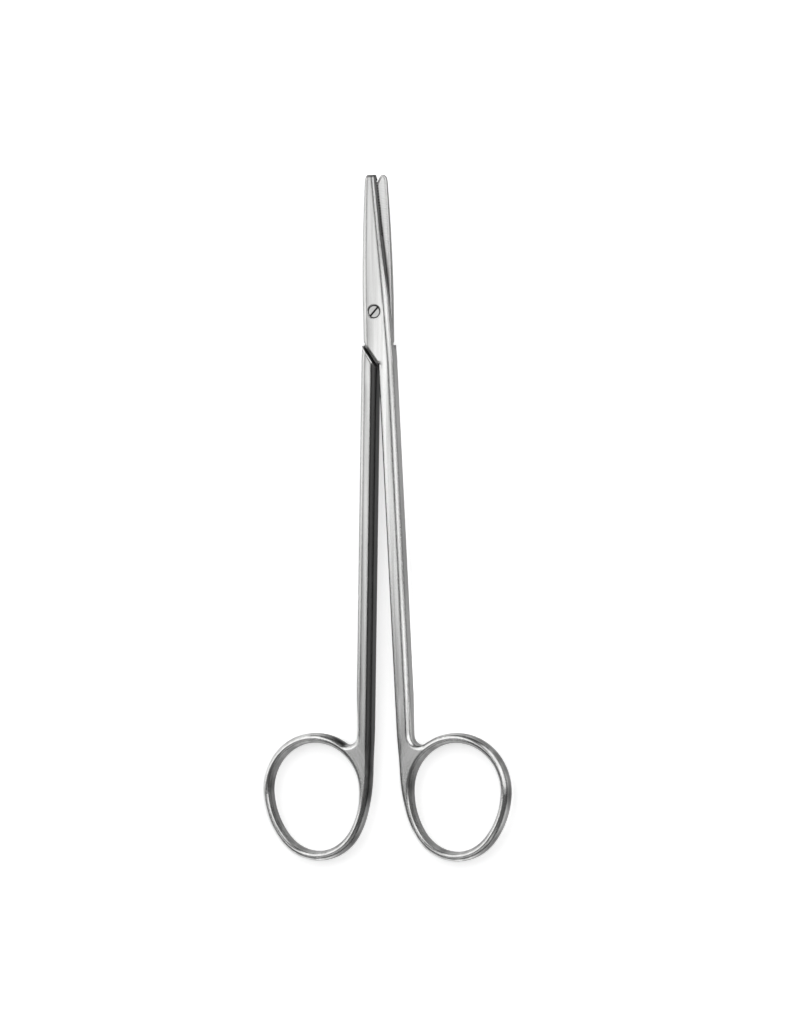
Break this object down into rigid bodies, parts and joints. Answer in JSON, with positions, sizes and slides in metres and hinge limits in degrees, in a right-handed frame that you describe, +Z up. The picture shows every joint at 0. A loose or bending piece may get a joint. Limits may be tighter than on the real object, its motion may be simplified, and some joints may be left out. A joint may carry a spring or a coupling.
{
  "type": "dissecting scissors",
  "caption": "Straight ring-handled dissecting scissors with slender shanks, a screwed lap joint, blunt rounded tips and a serrated cutting edge.",
  "frame": {"origin": "on the pivot axis, in the plane that the scissors lie on", "axes": "+Z up along the pivot axis, +Y towards the tips, +X to the right ring"},
  "size_m": [0.0705, 0.1793, 0.0042],
  "materials": {
    "steel_lower": "satin ground stainless steel",
    "steel_upper": "satin ground stainless steel",
    "steel_screw": "satin turned stainless steel"
  },
  "bodies": {
    "lower": {"lower_half": "steel_lower", "pivot_screw": "steel_screw"},
    "upper": {"upper_half": "steel_upper"}
  },
  "joints": [
    {"name": "pivot", "type": "hinge", "parent": "lower", "child": "upper", "pos_m": [0, 0, 0], "axis": [0, 0, 1], "range_deg": [-2.2, 120]}
  ]
}
